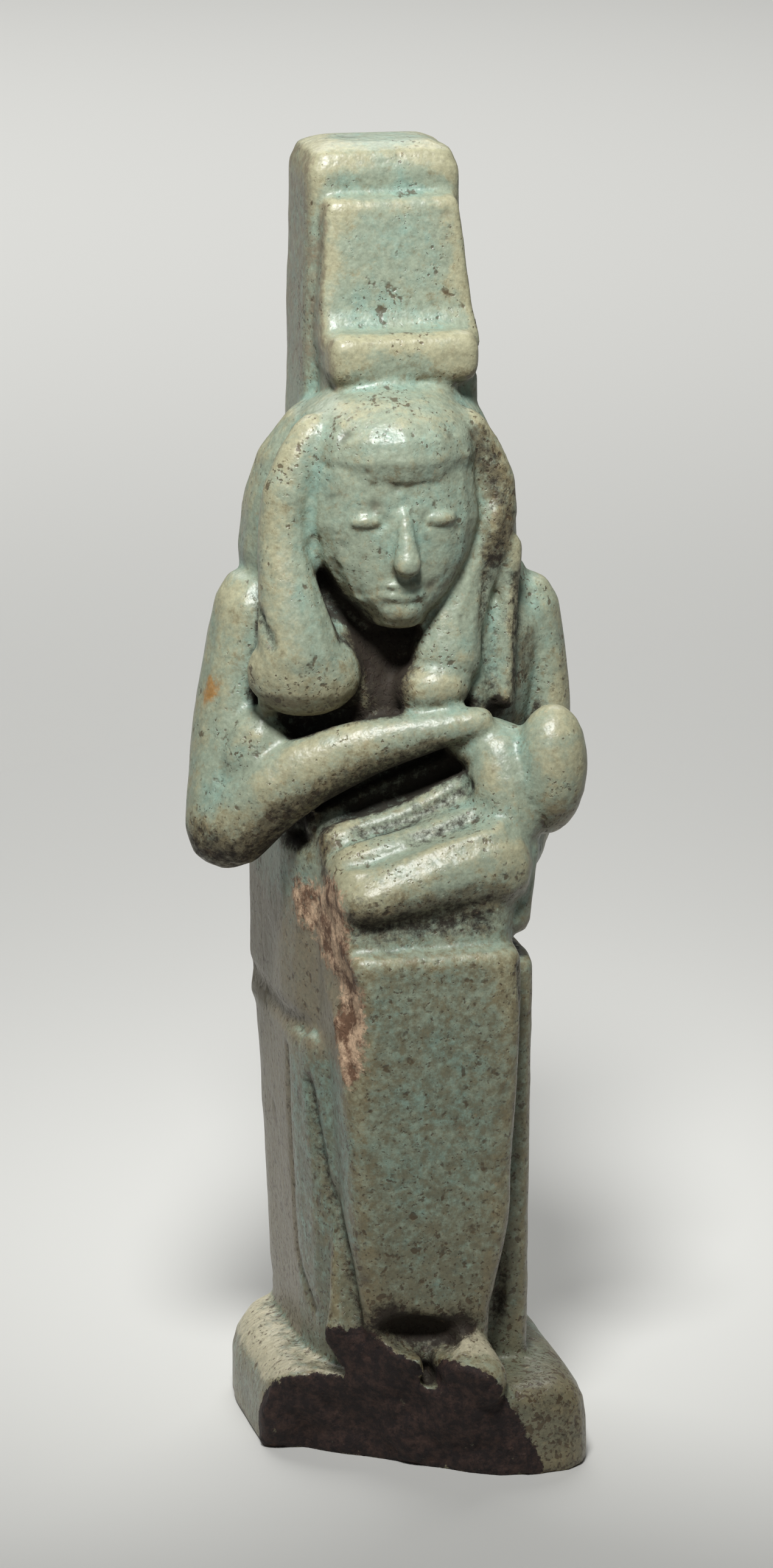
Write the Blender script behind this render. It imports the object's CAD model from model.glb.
import itertools
import math

import bmesh
import bpy
import numpy as np
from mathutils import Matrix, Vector
from mathutils.bvhtree import BVHTree


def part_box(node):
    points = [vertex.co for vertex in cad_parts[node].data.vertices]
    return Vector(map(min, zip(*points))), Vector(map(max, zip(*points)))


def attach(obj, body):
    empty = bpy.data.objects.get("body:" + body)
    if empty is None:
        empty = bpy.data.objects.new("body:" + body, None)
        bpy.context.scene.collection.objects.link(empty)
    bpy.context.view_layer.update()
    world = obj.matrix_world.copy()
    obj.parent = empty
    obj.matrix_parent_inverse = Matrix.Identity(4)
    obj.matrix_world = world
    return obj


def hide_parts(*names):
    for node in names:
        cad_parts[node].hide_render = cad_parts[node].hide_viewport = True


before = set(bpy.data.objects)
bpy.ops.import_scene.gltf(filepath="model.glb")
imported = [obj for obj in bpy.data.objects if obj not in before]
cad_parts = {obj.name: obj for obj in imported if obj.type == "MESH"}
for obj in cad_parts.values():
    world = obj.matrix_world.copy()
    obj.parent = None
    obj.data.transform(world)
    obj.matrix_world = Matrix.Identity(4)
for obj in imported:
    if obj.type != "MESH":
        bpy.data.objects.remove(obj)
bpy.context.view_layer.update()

# A moulded faience amulet, 50 mm tall. All carving below is in millimetres, in the CAD's frame:
# +Z up, the figure faces -Y and the viewer's left is -X.

mm = 0.001


def say(text):
    print("amulet:", text)


# Numbers on the mesh

def smoothStep(low, high, value):
    t = np.clip((value - low) / (high - low), 0, 1)
    return t * t * (3 - 2 * t)


def cloudNoise(points, size, seed):
    # soft random values from -1 to 1, one lump for each cell of that size
    table = np.random.default_rng(seed).uniform(-1, 1, 4096)
    cells = points / size
    base = np.floor(cells).astype(np.int64)
    part = cells - base
    part = part * part * (3 - 2 * part)
    total = np.zeros(len(points))
    for corner in itertools.product((0, 1), repeat=3):
        i, j, k = (base + corner).T
        share = np.where(corner, part, 1 - part).prod(axis=1)
        total += share * table[(i * 73856093 ^ j * 19349663 ^ k * 83492791) & 4095]
    return total


def roughNoise(points, size, seed, layers=3):
    # cloud noise with finer layers on top, each half as wide and half as strong
    return sum(cloudNoise(points, size / 2**n, seed + n) / 2**n for n in range(layers))


def distanceToLine(points, line):
    # the shortest distance from each point to a line through places
    best = np.full(len(points), 1e9)
    for start, end in zip(line[:-1], line[1:]):
        a, b = np.array(start, float), np.array(end, float)
        t = np.clip((points - a) @ (b - a) / max((b - a) @ (b - a), 1e-9), 0, 1)
        best = np.minimum(best, np.linalg.norm(points - a - t[:, None] * (b - a), axis=1))
    return best


def bell(away, wide):
    # 1 at no distance, falling off softly over that width
    return np.exp(-((away / wide) ** 2))


def meanOfNeighbours(values, edges):
    wide = values if values.ndim == 2 else values[:, None]
    count = np.bincount(edges.ravel(), minlength=len(wide))
    sums = np.stack(
        [
            np.bincount(edges[:, 0], column[edges[:, 1]], len(wide))
            + np.bincount(edges[:, 1], column[edges[:, 0]], len(wide))
            for column in wide.T
        ],
        axis=1,
    )
    return (sums / np.maximum(count, 1)[:, None]).reshape(values.shape)


def relax(values, edges, rounds, strength=0.6):
    for _ in range(rounds):
        values = values + strength * (meanOfNeighbours(values, edges) - values)
    return values


def readPoints(mesh):
    flat = np.zeros(len(mesh.vertices) * 3, np.float32)
    mesh.vertices.foreach_get("co", flat)
    return flat.reshape(-1, 3).astype(float)


def readNormals(mesh):
    flat = np.zeros(len(mesh.vertices) * 3, np.float32)
    mesh.vertex_normals.foreach_get("vector", flat)
    return flat.reshape(-1, 3).astype(float)


def readEdges(mesh):
    flat = np.zeros(len(mesh.edges) * 2, np.int32)
    mesh.edges.foreach_get("vertices", flat)
    return flat.reshape(-1, 2)


def writePoints(mesh, points):
    mesh.vertices.foreach_set("co", points.astype(np.float32).ravel())
    mesh.update()


def surfaceOf(mesh):
    # the surface as rays and nearest places find it
    return BVHTree.FromPolygons(readPoints(mesh).tolist(), [p.vertices[:] for p in mesh.polygons])


def place(name, data):
    made = bpy.data.objects.new(name, data)
    bpy.context.scene.collection.objects.link(made)
    return made


# The moulded body: the solid's form in a fine even mesh, its creases flooded by glaze

moulding = {
    "weld": 1e-7,  # in metres: corners of the CAD's faces this near are one
    "cell": 0.18,  # the mesh's spacing
    "finer": ((-4.6, -4.5, 31.5), (3.6, -1.4, 40)),  # the face's box, meshed twice as fine
    "floodRounds": 3,  # how far the glaze rounds off creases and arrises
    "floodStrength": 0.55,
    # heights between which the flooding and the carving set in, so that the underside stays flat
    "flooded": (0.12, 0.48),
    "carved": (0.02, 0.3),
}


def fineBody(node):
    work = bpy.data.meshes.new_from_object(node)
    sheet = bmesh.new()
    sheet.from_mesh(work)
    bmesh.ops.remove_doubles(sheet, verts=sheet.verts, dist=moulding["weld"])
    bmesh.ops.scale(sheet, vec=(1 / mm,) * 3, verts=sheet.verts)
    sheet.to_mesh(work)
    sheet.free()
    piece = place("amulet_body", work)
    remesh = piece.modifiers.new("cells", "REMESH")
    remesh.mode = "VOXEL"
    remesh.voxel_size = moulding["cell"]
    ready = bpy.data.meshes.new_from_object(
        piece.evaluated_get(bpy.context.evaluated_depsgraph_get())
    )
    piece.modifiers.clear()
    form = surfaceOf(work)
    sheet = bmesh.new()
    sheet.from_mesh(ready)
    low, high = moulding["finer"]
    inBox = [
        edge
        for edge in sheet.edges
        if all(a < c < b for vert in edge.verts for a, c, b in zip(low, vert.co, high))
    ]
    bmesh.ops.subdivide_edges(sheet, edges=inBox, cuts=1, use_grid_fill=True)
    for vert in sheet.verts:
        vert.co = form.find_nearest(vert.co)[0]
    sheet.to_mesh(ready)
    sheet.free()
    piece.data = ready
    piece.data.name = "amulet_body"
    return piece


def floodCreases(mesh):
    points, edges = readPoints(mesh), readEdges(mesh)
    soft = relax(points, edges, moulding["floodRounds"], moulding["floodStrength"])
    share = smoothStep(*moulding["flooded"], points[:, 2])
    soft[:, 2] = points[:, 2] + share * (soft[:, 2] - points[:, 2])
    writePoints(mesh, soft)


# Carving drawn by hand on the form: each line is laid on the surface and cut in, or raised where
# its depth is negative

graver = {
    "step": 0.4,  # how finely a drawn line is laid on the surface
    "dirtSpread": 1.5,  # how much wider than a cut its dirt lies
}
carving = {
    "cloth fold, back": {"wide": 0.3, "deep": 0.2, "dirt": 0.75, "line": [
        (-2.2, -1.5, 25.4), (-1.0, -1.6, 25.9), (0.4, -1.8, 26.4), (1.8, -2.0, 27.0)]},
    "cloth fold, middle": {"wide": 0.3, "deep": 0.2, "dirt": 0.75, "line": [
        (-2.3, -3.0, 24.8), (-0.5, -3.1, 25.3), (0.6, -3.2, 25.8), (1.7, -3.3, 26.4)]},
    "cloth fold, front": {"wide": 0.28, "deep": 0.16, "dirt": 0.75, "line": [
        (-0.6, -4.5, 24.9), (0.6, -4.5, 25.2), (1.6, -4.5, 25.7)]},
    "cloth's front hem": {"wide": 0.3, "deep": -0.12, "dirt": 0, "line": [
        (-3.1, -5.0, 24.0), (-1.7, -5.3, 24.5), (1.8, -5.4, 25.4)]},
    "under the roll": {"wide": 0.4, "deep": 0.1, "dirt": 0.8, "line": [
        (-3.2, -5.4, 21.6), (-0.8, -5.6, 21.6), (2.0, -5.6, 21.7)]},
    "lock, speckled groove": {"wide": 0.32, "deep": 0.1, "dirt": 0.6, "line": [
        (3.2, -1.5, 34.5), (3.0, -1.8, 32.9), (3.1, -1.4, 30.9), (3.05, -1.3, 29.4)]},
    "lock, outer edge": {"wide": 0.36, "deep": 0.14, "dirt": 0.8, "line": [
        (4.3, -0.9, 33.8), (4.3, -1.1, 31.5), (4.1, -1.4, 29.3)]},
    "left lappet's crack": {"wide": 0.2, "deep": 0.2, "dirt": 0.8, "line": [
        (-5.4, -0.6, 33.6), (-5.3, -1.4, 32.9), (-5.2, -1.8, 31.9)]},
    "shin, left edge": {"wide": 0.3, "deep": 0.22, "dirt": 0.7, "line": [
        (-4.0, -2.3, 14.8), (-3.6, -3.0, 11.0), (-3.2, -4.4, 8.5), (-2.8, -5.1, 5.3)]},
    "throne, left side": {"wide": 0.24, "deep": 0.14, "dirt": 0.5, "line": [
        (-4.24, 0, 15.5), (-4.03, 0.5, 10.9), (-3.9, 0.4, 7.2), (-4.0, -1.6, 5.4)]},
    "seat, left side": {"wide": 0.42, "deep": 0.22, "dirt": 0.4, "line": [
        (-4.8, 6.3, 16.9), (-4.6, 3.4, 16.7), (-4.4, -1.6, 16.7)]},
    "shin, right edge": {"wide": 0.24, "deep": 0.14, "dirt": 0.8, "line": [
        (3.1, -5.9, 19.9), (3.0, -4.8, 12.0), (2.87, -3.6, 5.5)]},
}

# Dirt packed in by the ground: along a line, how far it spreads from there and how thickly it
# lies. Above 1 it leaves no gaps.

packedDirt = {
    "breast, under the chin": {"wide": 1.0, "thick": 1.5, "line": [
        (-1.2, -1.1, 31.4), (-0.9, -1.4, 29.9)]},
    "hollow under the hem": {"wide": 0.75, "thick": 1.3, "line": [
        (-1.9, -5.6, 6.1), (-0.6, -5.0, 5.4), (0.9, -5.5, 5.6)]},
    "right side of the hair": {"wide": 0.8, "thick": 0.55, "line": [
        (2.9, -1.0, 39.2), (3.4, -1.0, 37.8), (3.7, -1.0, 36.2), (3.4, -1.2, 35.0)]},
    "right arm, beside the lock": {"wide": 0.6, "thick": 0.5, "line": [
        (4.9, -0.4, 33.5), (4.9, -0.4, 30)]},
    "beside the cloth": {"wide": 0.5, "thick": 0.6, "line": [
        (-3.6, -2.5, 24.3), (-3.8, -2.8, 23.2), (-3.8, -3.8, 22.4)]},
    "under the cloth's roll": {"wide": 0.9, "thick": 0.35, "line": [
        (-3.0, -5.9, 22.5), (2.2, -5.9, 22.6)]},
    "left elbow": {"wide": 1.3, "thick": 0.6, "line": [
        (-8.1, -0.8, 24.0), (-6.6, -1.5, 23.5), (-5.2, -1.8, 24.3)]},
    "under the forearm": {"wide": 0.7, "thick": 0.5, "line": [
        (-5.5, -2.2, 25.4), (-2.5, -2.6, 27.0), (0.5, -3.0, 27.9)]},
    "plinth's right corner": {"wide": 1.5, "thick": 0.35, "line": [
        (3.9, -7.3, 2.4), (4.9, -7.0, 1.2)]},
}

# The break across the plinth's front, the chip down the knee's edge and the pits. Here and below,
# a pair of values is where something begins and where it is there in full.

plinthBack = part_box("amulet")[1].y / mm
breakFace = {
    "left": -6.1,  # the plinth's left edge
    "start": 9.3,  # from the plinth's back to the break at that edge
    "slant": 0.62,  # how much further forward it is for each mm to the right
    "lean": 0.3,  # and for each mm up
    "near": (0.868, 0.62),  # how far its rough face reaches from the middle plane
    "facing": (0.25, 0.5),  # how squarely a place faces forward from the break
    "ground": (-0.02, 0.02),
    "top": (5.9, 5.4),
    "rounds": 2,  # how far its edge is softened
    "rough": 0.13,
    "sunk": 0,
    "grain": 1.1,
    "layers": 4,
    "seed": 3,
}
chip = {
    # height, middle from side to side, middle from front to back, and how far it reaches each way
    "stops": [
        (13.0, -4.5, -6.65, 0.6, 0.6),
        (13.8, -4.5, -6.65, 0.8, 0.8),
        (16.4, -4.7, -6.55, 1.6, 1.6),
        (18.6, -4.9, -6.35, 1.85, 2.2),
        (20.4, -5.2, -5.55, 1.75, 4.6),
        (22.2, -5.3, -5.35, 1.7, 5.4),
        (24.6, -5.3, -5.35, 1.5, 1.6),
    ],
    "edge": (1.18, 0.98),  # in shares of that reach
    "foot": (13.0, 14.0),
    "top": (25.7, 25.2),
    "rounds": 1,
    "rough": 0.1,
    "sunk": 0.3,  # how deep its grains lie, as a share of their height
    "grain": 0.9,
    "layers": 4,
    "seed": 7,
    "sandRounds": 12,  # how far the sandy colour fades beyond its edge
}
pits = {
    "count": 110,
    "smallest": 0.14,
    "widest": 0.3,
    "shrink": (0.5, 1),  # each one's radius is drawn twice, the second time from these shares
    "deep": 0.3,  # its depth as a share of its radius
    "dark": 3,  # how dark it is for each millimetre of its radius
    "ragged": 0.5,
    "raggedSize": 0.3,
    "raggedSeed": 51,
    "seed": 11,
}
# a hand-pressed form is never quite true
handPressed = {
    "wave": {"wide": 2.6, "high": 0.045, "seed": 21, "layers": 3},
    "ripple": {"wide": 0.7, "high": 0.008, "seed": 31, "layers": 2},
}


def breakDepth(points):
    # how far a point is behind the middle plane of the break
    x, y, z = points.T
    plane = plinthBack - breakFace["start"] - breakFace["slant"] * (x - breakFace["left"])
    return y - (plane - breakFace["lean"] * z)


def brokenShare(points, normals):
    outwards = np.array(Vector((-breakFace["slant"], -1, -breakFace["lean"])).normalized())
    near = smoothStep(*breakFace["near"], np.abs(breakDepth(points)))
    facing = smoothStep(*breakFace["facing"], normals @ outwards)
    z = points[:, 2]
    return near * smoothStep(*breakFace["top"], z) * facing * smoothStep(*breakFace["ground"], z)


def chipShare(points):
    height, middleX, middleY, wide, deep = zip(*chip["stops"])
    x, y, z = points.T
    acrossX = (x - np.interp(z, height, middleX)) / np.interp(z, height, wide)
    acrossY = (y - np.interp(z, height, middleY)) / np.interp(z, height, deep)
    inside = smoothStep(*chip["edge"], np.hypot(acrossX, acrossY))
    return inside * smoothStep(*chip["foot"], z) * smoothStep(*chip["top"], z)


def onSurface(form, line):
    # the line in short steps, each laid on the nearest place of the surface
    laid = []
    for start, end in zip(line[:-1], line[1:]):
        a, b = Vector(start), Vector(end)
        steps = max(1, round((b - a).length / graver["step"]))
        laid += [form.find_nearest(a.lerp(b, i / steps))[0] for i in range(steps)]
    return [*laid, form.find_nearest(Vector(line[-1]))[0]]


def pitSize(points):
    # the radius of the pit that a point lies in, falling off towards its rim
    rng = np.random.default_rng(pits["seed"])
    pitted = np.zeros(len(points))
    ragged = 1 + pits["ragged"] * cloudNoise(points, pits["raggedSize"], pits["raggedSeed"])
    for centre in points[rng.choice(len(points), pits["count"], replace=False)]:
        radius = rng.uniform(pits["smallest"], pits["widest"]) * rng.uniform(*pits["shrink"])
        away = np.linalg.norm(points - centre, axis=1) * ragged
        pitted = np.maximum(pitted, radius * bell(away, radius))
    return pitted


def carve(mesh):
    points, normals, edges = readPoints(mesh), readNormals(mesh), readEdges(mesh)
    form = surfaceOf(mesh)
    push = np.zeros(len(points))
    dirt = np.zeros(len(points))
    for cut in carving.values():
        away = distanceToLine(points, onSurface(form, cut["line"]))
        push -= cut["deep"] * bell(away, cut["wide"])
        dirt = np.maximum(dirt, cut["dirt"] * bell(away, graver["dirtSpread"] * cut["wide"]))
    broken = relax(brokenShare(points, normals), edges, breakFace["rounds"])
    chipped = relax(chipShare(points), edges, chip["rounds"])
    for share, damage in ((broken, breakFace), (chipped, chip)):
        grains = roughNoise(points, damage["grain"], damage["seed"], damage["layers"])
        push += damage["rough"] * share * (grains - damage["sunk"])
    pressed = sum(
        swell["high"] * roughNoise(points, swell["wide"], swell["seed"], swell["layers"])
        for swell in handPressed.values()
    )
    push += pressed * (1 - broken)
    pitted = pitSize(points)
    push -= pits["deep"] * pitted
    push *= smoothStep(*moulding["carved"], points[:, 2])
    writePoints(mesh, points + push[:, None] * normals)
    pit = np.clip(pits["dark"] * pitted, 0, 1)
    return {"dirt": dirt, "core": broken, "sand": chipped, "pit": pit}


# Where the surface is worn, stained or dirty. A zone lies between two places in millimetres, or
# for a side between two values of the part of the normal that points there.

shade = {
    "rays": 40,
    "reach": 5.0,
    "lift": 0.03,  # a ray starts this far off the surface
    "grazing": 0.1,  # and isn't cast where it would run flatter than this
    "rounds": 2,  # how far the result is softened
}
wear = {
    "formRounds": 90,  # how far the form is smoothed, to tell what stands out from it
    "rise": (0.02, 0.26),
    "recess": (-0.01, -0.2),
    "hollow": (0.68, 0.2),  # the share of open space
    "left": (0.5, 0.85),
    "right": (0.6, 0.9),
    "up": (0.1, 0.7),
    "down": (0, -0.7),
    "low": (23, 20),
    "shins": (14, 6),
    "crown": (39, 42),
    "plinth": (3.9, 3.2),
    "plinthLeft": (1.5, -1.5),
    "plinthRight": (2.2, 3.6),
    "plinthFront": (0, -2.5),
    "behindBreak": (0.3, 0.7),
    "stripeBack": (0.6, -0.4),  # the stripe of whole glaze up the throne's left side
    "stripeTop": (17, 15),
    "instep": {"wide": 0.8, "line": [(0.5, -6.3, 5.3), (1.9, -6.4, 5.1)]},
    "rust": {"wide": 0.4, "line": [(-7.4, 0.8, 29.9), (-7.4, 0.8, 29.5)]},
    # the glaze's wandering tint: the width of its lumps, how strong they are and their seed
    "wandering": [(3.2, 0.25, 61), (1.3, 0.15, 62)],
    "thickest": 1.5,
}
# how much each zone adds to a coat's share of the surface, or takes from it
coats = {
    "turquoise": {
        "everywhere": 0.38, "recess": 0.3, "rise": -0.35, "wandering": 1, "stripe": 0.4,
        "dirty": -0.4},
    "buff": {"everywhere": 0.14, "rise": 0.6, "recess": -0.25, "wandering": -1},
    "stain": {
        "everywhere": 0.22, "low": 0.35, "shins": 0.15, "up": -0.2, "closed": 0.5, "silted": 0.6,
        "right": 0.1, "packed": 1},
    "grime": {"hollow": 1, "cuts": 0.75, "packed": 1, "down": 0.1},
    "bare": {"bareSide": 1, "bareCrown": 0.6},
    "cream": {"plinthTop": 0.9, "instep": 1},
    "rust": {"rust": 1},
}


def skyShare(mesh):
    # how much of the open space around each point nothing stands in, within a few millimetres
    points, normals = readPoints(mesh), readNormals(mesh)
    form = surfaceOf(mesh)
    goldenAngle = math.pi * (3 - math.sqrt(5))
    seen = np.zeros(len(points))
    total = np.full(len(points), 1e-6)
    starts = points + shade["lift"] * normals
    for i in range(shade["rays"]):
        z = 1 - 2 * (i + 0.5) / shade["rays"]
        turn = goldenAngle * i
        ray = Vector((math.cos(turn), math.sin(turn), 0)) * math.sqrt(1 - z * z)
        ray.z = z
        cosine = normals @ np.array(ray)
        above = np.flatnonzero(cosine > shade["grazing"])
        for n in above:
            if form.ray_cast(starts[n], ray, shade["reach"])[0] is None:
                seen[n] += cosine[n]
        total[above] += cosine[above]
    return seen / total


def surfaceShares(mesh, cut):
    points, normals, edges = readPoints(mesh), readNormals(mesh), readEdges(mesh)
    x, y, z = points.T

    def zone(name, value):
        return smoothStep(*wear[name], value)

    def along(spot):
        return bell(distanceToLine(points, spot["line"]), spot["wide"])

    bulge = ((points - relax(points, edges, wear["formRounds"])) * normals).sum(axis=1)
    sky = relax(skyShare(mesh), edges, shade["rounds"])
    packed = np.max([dirt["thick"] * along(dirt) for dirt in packedDirt.values()], axis=0)
    left = zone("left", -normals[:, 0])
    up = zone("up", normals[:, 2])
    down = zone("down", normals[:, 2])
    low = zone("low", z)
    onPlinth = zone("plinth", z)
    frontCorner = onPlinth * zone("plinthRight", x) * zone("plinthFront", y)
    stripe = left * zone("stripeBack", y) * zone("stripeTop", z) * (1 - onPlinth)
    behindBreak = zone("behindBreak", breakDepth(points))
    zones = {
        "everywhere": 1,
        "rise": zone("rise", bulge),
        "recess": zone("recess", bulge),
        "closed": 1 - sky,
        "hollow": zone("hollow", sky),
        "right": zone("right", normals[:, 0]),
        "up": up,
        "down": down,
        "low": low,
        "shins": zone("shins", z),
        "cuts": cut["dirt"],
        "packed": packed,
        "dirty": cut["dirt"] + packed,
        "silted": frontCorner + down,
        "stripe": stripe,
        "bareSide": left * low * (1 - stripe) * (1 - onPlinth),
        "bareCrown": left * zone("crown", z),
        "plinthTop": onPlinth * up * zone("plinthLeft", x) * behindBreak,
        "instep": along(wear["instep"]),
        "rust": along(wear["rust"]),
        "wandering": sum(
            strength * cloudNoise(points, size, seed) for size, strength, seed in wear["wandering"]
        ),
    }
    shares = {
        coat: sum(weight * zones[name] for name, weight in weights.items())
        for coat, weights in coats.items()
    }
    sand = relax(cut["sand"], edges, chip["sandRounds"])
    return {**shares, "core": cut["core"], "sand": sand, "pit": cut["pit"]}


def mark(mesh, shares):
    # a share over 1 is a coat so thick that its patches leave no gaps
    for name, values in shares.items():
        layer = mesh.attributes.new(name, "FLOAT", "POINT")
        layer.data.foreach_set("value", np.clip(values, 0, wear["thickest"]).astype(np.float32))


# Faience: a sintered quartz body under an alkaline copper glaze, moulded, self-glazed in the
# kiln and then worn and stained in the ground. To the eye it is a soft satin gloss, pale
# turquoise where the glaze pooled and buff where it wore thin, with dark pin-holes.

faienceLook = {
    "glaze": "#909a86",
    # from the glaze outwards: a coat's colour, how wide its patches are in millimetres, how soft
    # their edges are and how thickly they lie
    "coats": {
        "turquoise": ("#86a092", 1.3, 0.35, 0.9),  # where the glaze pooled
        "buff": ("#a7a384", 0.9, 0.35, 0.85),  # where it wore thin
        "stain": ("#665638", 0.45, 0.3, 0.65),  # silt in the glaze's pores
        "bare": ("#857b66", 0.5, 0.35, 0.85),  # the left side, where little glaze is left
        "cream": ("#c5bea2", 0.8, 0.3, 0.9),
        "rust": ("#a1702f", 0.4, 0.4, 0.8),
    },
    "specks": {
        "colour": "#4a3824",
        "wide": (0.16, 0.38),  # the fine ones and the coarse ones
        "levels": (0.54, 0.8),  # the levels of the noise that a pattern spreads
        "cut": (0.16, 0.45),
        "crowd": 2.6,  # how wide the places are where they crowd
        "crowdLevels": (0.38, 0.68),
        "thick": 0.75,
    },
    "grime": ("#20150b", 0.3, 0.4, 0.94),  # packed dirt in the hollows, over the specks
    # where the body is bare: the grains' two colours, width and levels, and the patches
    "body": {
        "sand": ("#6e523e", "#dcbd9d", 0.8, (0.42, 0.6), 0.35, 0.25),  # the chip
        "core": ("#1d1211", "#46322a", 0.4, (0.44, 0.66), 0.5, 0.1),  # the break
    },
    # the quartz grain shows as a fine mottle, drawn at 0.22 mm, coarser than it is
    "mottle": {"wide": 0.22, "dark": 0.72, "light": 1.18},
    # the glaze's own ripple, which with the specks' pin-holes is the only bump
    "ripple": {"wide": 0.35, "high": 0.035, "strength": 0.55},
    "ior": 1.5,
    "gloss": 0.4,  # roughness of the glaze
    "dull": 0.8,  # roughness of the dirt and the bare body
}


def linear(hexText):
    def channel(c):
        return c / 12.92 if c <= 0.04045 else ((c + 0.055) / 1.055) ** 2.4
    return tuple(channel(int(hexText[i:i + 2], 16) / 255) for i in (1, 3, 5)) + (1,)


def perMillimetre(size):
    # a texture's scale that gives it one cell for each length of that many millimetres
    return 1 / (size * mm)


def addNode(tree, kind, settings, inputs):
    # settings are the node's own choices, and an input is a socket, a number or a hex colour
    made = tree.nodes.new(kind)
    for name, value in settings.items():
        setattr(made, name, value)
    for name, value in inputs.items():
        if isinstance(value, bpy.types.NodeSocket):
            tree.links.new(value, made.inputs[name])
        else:
            made.inputs[name].default_value = linear(value) if isinstance(value, str) else value
    return made.outputs


# Patterns of several nodes

fullLevels = (0.3, 0.7)  # the noise seldom leaves this range
lumpWeight = 0.88  # below 1, so that a coat hardly shows where it has no share
smoothly = {"interpolation_type": "SMOOTHSTEP"}
larger = {"operation": "MAXIMUM"}
mixUnder, mixOver, mixed = 6, 7, 2  # a colour mix's own sockets, which share their names


def cloud(tree, where, size, levels=fullLevels, detail=5, rough=0.75):
    # soft lumps of that many millimetres, spread from 0 to 1 between two levels of the noise
    noise = {"Vector": where, "Scale": perMillimetre(size), "Detail": detail, "Roughness": rough}
    level = addNode(tree, "ShaderNodeTexNoise", {}, noise)["Fac"]
    spread = {"Value": level, "From Min": levels[0], "From Max": levels[1]}
    return addNode(tree, "ShaderNodeMapRange", {}, spread)["Result"]


def patches(tree, where, share, size, edge):
    # ragged patches of that many millimetres that cover a share of the surface
    raised = {0: cloud(tree, where, size), 1: lumpWeight, 2: share}
    level = addNode(tree, "ShaderNodeMath", {"operation": "MULTIPLY_ADD"}, raised)["Value"]
    cutOff = {"Value": level, "From Min": 1 - edge, "From Max": 1 + edge}
    return addNode(tree, "ShaderNodeMapRange", smoothly, cutOff)["Result"]


def specks(tree, where, size, crowd):
    # ragged specks up to that many millimetres wide, more of them where they crowd
    grains = cloud(tree, where, size, faienceLook["specks"]["levels"], detail=2, rough=0.5)
    near = addNode(tree, "ShaderNodeMath", {"operation": "MULTIPLY"}, {0: grains, 1: crowd})["Value"]
    low, high = faienceLook["specks"]["cut"]
    cutOff = {"Value": near, "From Min": low, "From Max": high}
    return addNode(tree, "ShaderNodeMapRange", smoothly, cutOff)["Result"]


def faience():
    look = faienceLook
    material = bpy.data.materials.new("worn_glazed_faience")
    material.use_nodes = True
    tree = material.node_tree
    shader = tree.nodes["Principled BSDF"]
    where = addNode(tree, "ShaderNodeTexCoord", {}, {})["Object"]
    names = (*coats, "core", "sand", "pit")
    share = {n: addNode(tree, "ShaderNodeAttribute", {"attribute_name": n}, {})["Fac"] for n in names}

    spots = look["specks"]
    crowd = cloud(tree, where, spots["crowd"], spots["crowdLevels"])
    crowd = addNode(tree, "ShaderNodeMath", larger, {0: crowd, 1: share["stain"]})["Value"]
    fine, coarse = (specks(tree, where, wide, crowd) for wide in spots["wide"])
    dots = addNode(tree, "ShaderNodeMath", larger, {0: fine, 1: coarse})["Value"]
    dots = addNode(tree, "ShaderNodeMath", larger, {0: dots, 1: share["pit"]})["Value"]

    layers = [
        (paint, patches(tree, where, share[name], wide, edge), thick)
        for name, (paint, wide, edge, thick) in look["coats"].items()
    ]
    paint, wide, edge, thick = look["grime"]
    grime = patches(tree, where, share["grime"], wide, edge)
    layers += [(spots["colour"], dots, spots["thick"]), (paint, grime, thick)]
    colour = look["glaze"]
    for paint, pattern, thick in layers:
        amount = addNode(tree, "ShaderNodeMath", {"operation": "MULTIPLY"}, {0: pattern, 1: thick})
        mixing = {0: amount["Value"], mixUnder: colour, mixOver: paint}
        colour = addNode(tree, "ShaderNodeMix", {"data_type": "RGBA"}, mixing)[mixed]

    dull = grime
    for name, (dark, light, grain, levels, wide, edge) in look["body"].items():
        mixing = {0: cloud(tree, where, grain, levels), mixUnder: dark, mixOver: light}
        paint = addNode(tree, "ShaderNodeMix", {"data_type": "RGBA"}, mixing)[mixed]
        bared = patches(tree, where, share[name], wide, edge)
        mixing = {0: bared, mixUnder: colour, mixOver: paint}
        colour = addNode(tree, "ShaderNodeMix", {"data_type": "RGBA"}, mixing)[mixed]
        dull = addNode(tree, "ShaderNodeMath", larger, {0: dull, 1: bared})["Value"]

    mottle = look["mottle"]
    light = cloud(tree, where, mottle["wide"])
    light = {"Value": light, "To Min": mottle["dark"], "To Max": mottle["light"]}
    light = addNode(tree, "ShaderNodeMapRange", {}, light)["Result"]
    colour = addNode(tree, "ShaderNodeHueSaturation", {}, {"Color": colour, "Value": light})["Color"]
    tree.links.new(colour, shader.inputs["Base Color"])

    finish = {"Value": dull, "To Min": look["gloss"], "To Max": look["dull"]}
    rough = addNode(tree, "ShaderNodeMapRange", {}, finish)["Result"]
    tree.links.new(rough, shader.inputs["Roughness"])
    shader.inputs["IOR"].default_value = look["ior"]

    ripple = look["ripple"]
    waves = cloud(tree, where, ripple["wide"], detail=2, rough=0.5)
    holes = addNode(tree, "ShaderNodeMath", {"operation": "SUBTRACT"}, {0: waves, 1: dots})["Value"]
    depth = {"Strength": ripple["strength"], "Distance": ripple["high"] * mm, "Height": holes}
    relief = addNode(tree, "ShaderNodeBump", {}, depth)["Normal"]
    tree.links.new(relief, shader.inputs["Normal"])
    return material


# The studio, in metres: a pale floor, a soft light from above and the left for the amulet, another
# for the floor behind it, and a weak even fill

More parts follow.
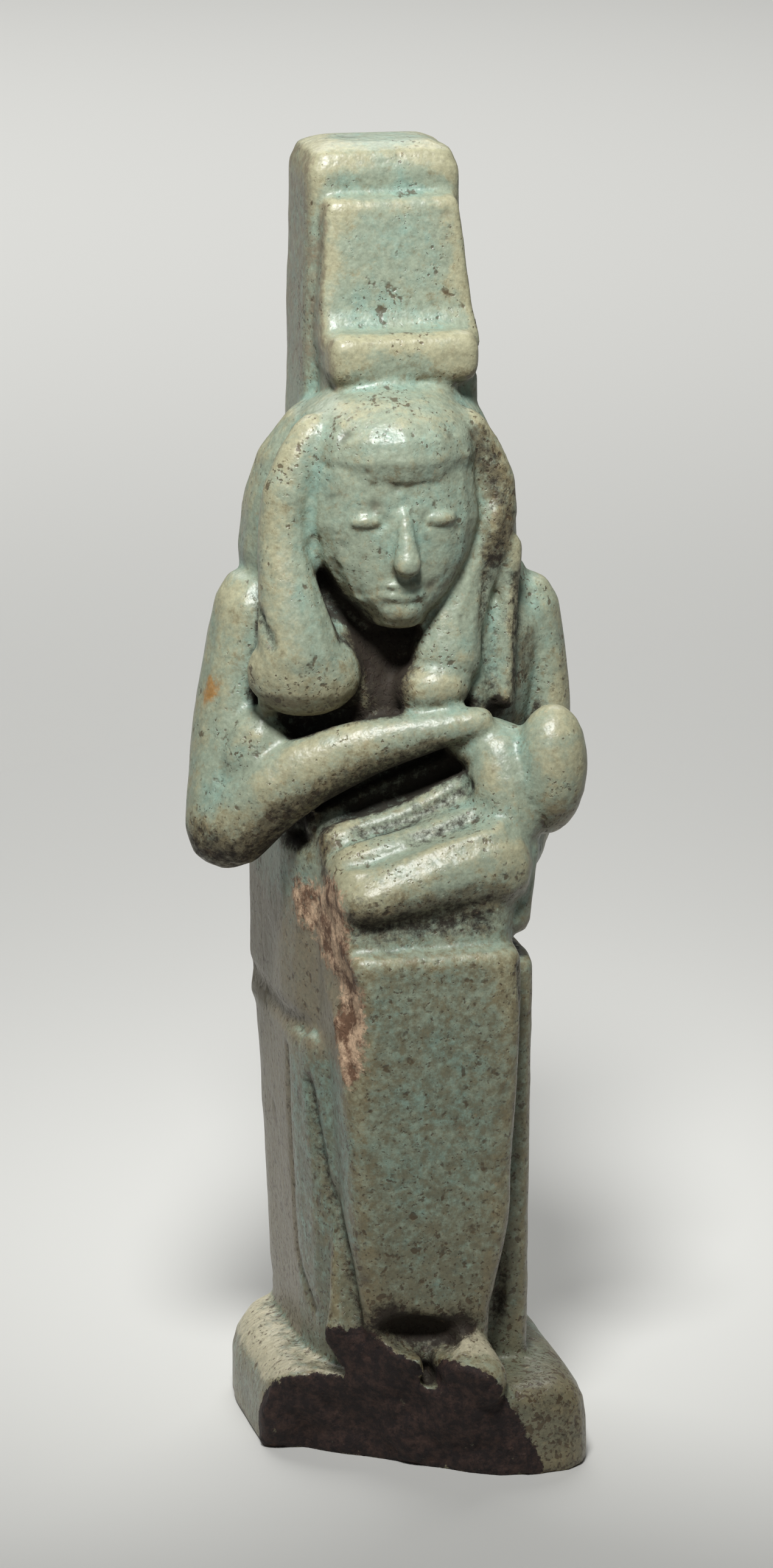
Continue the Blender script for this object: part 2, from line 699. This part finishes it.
studio = {
    "floor": {"colour": "#d2d2ce", "roughness": 0.9, "half": 3},
    "fill": {"colour": "#ffffff", "strength": 0.08},
}
softboxes = {
    "key": {
        "at": (-0.024, -0.068, 0.134), "to": (0, 0, 0.041), "wide": 0.03, "power": 0.0153,
        "spread": 44},
    "back": {
        "at": (0.0, 0.30, 0.3), "to": (0, 0.28, 0), "wide": 0.4, "power": 1.0, "spread": 150},
}
viewpoint = {
    "target": (-0.00042, 0.00105, 0.0255),
    "azimuth": -13,
    "elevation": 14.5,
    "distance": 0.26,
    "lens": 155,
    "sensor": 36,
    "nearest": 0.01,
}


def makeStudio():
    half = studio["floor"]["half"]
    corners = [(-half, -half, 0), (half, -half, 0), (half, half, 0), (-half, half, 0)]
    floor = bpy.data.meshes.new("floor")
    floor.from_pydata(corners, [], [(0, 1, 2, 3)])
    ground = place("floor", floor)
    # matt paper: it takes a soft shadow and gives no reflection
    paper = bpy.data.materials.new("pale_paper")
    paper.use_nodes = True
    face = paper.node_tree.nodes["Principled BSDF"]
    face.inputs["Base Color"].default_value = linear(studio["floor"]["colour"])
    face.inputs["Roughness"].default_value = studio["floor"]["roughness"]
    floor.materials.append(paper)

    for name, box in softboxes.items():
        lamp = bpy.data.lights.new(name + "_softbox", "AREA")
        lamp.shape = "DISK"
        lamp.size = box["wide"]
        lamp.energy = box["power"]
        lamp.spread = math.radians(box["spread"])
        light = place(name + "_softbox", lamp)
        light.location = box["at"]
        aim = Vector(box["to"]) - light.location
        light.rotation_euler = aim.to_track_quat("-Z", "Y").to_euler()
        light.visible_camera = False

    world = bpy.data.worlds.new("even_fill")
    world.use_nodes = True
    fill = world.node_tree.nodes["Background"]
    fill.inputs["Color"].default_value = linear(studio["fill"]["colour"])
    fill.inputs["Strength"].default_value = studio["fill"]["strength"]
    bpy.context.scene.world = world
    bpy.context.scene.view_settings.view_transform = "Standard"


def makeCamera():
    a, e = math.radians(viewpoint["azimuth"]), math.radians(viewpoint["elevation"])
    back = Vector((math.sin(a) * math.cos(e), -math.cos(a) * math.cos(e), math.sin(e)))
    lens = bpy.data.cameras.new("camera")
    lens.lens = viewpoint["lens"]
    lens.sensor_width = viewpoint["sensor"]
    lens.clip_start = viewpoint["nearest"]
    camera = place("camera", lens)
    camera.location = Vector(viewpoint["target"]) + back * viewpoint["distance"]
    camera.rotation_euler = (-back).to_track_quat("-Z", "Y").to_euler()
    bpy.context.scene.camera = camera


# Making

say("frame loaded")
amulet = fineBody(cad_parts["amulet"])
floodCreases(amulet.data)
say(f"fine body with {len(amulet.data.polygons)} faces")
cut = carve(amulet.data)
say("carved, chipped and pitted")
mark(amulet.data, surfaceShares(amulet.data, cut))
say("wear and dirt marked")
writePoints(amulet.data, readPoints(amulet.data) * mm)
amulet.data.shade_smooth()
amulet.data.materials.clear()
amulet.data.materials.append(faience())
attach(amulet, "root")
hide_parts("amulet")
say("glazed")
makeStudio()
makeCamera()
say("studio and camera placed")

bpy.context.view_layer.update()
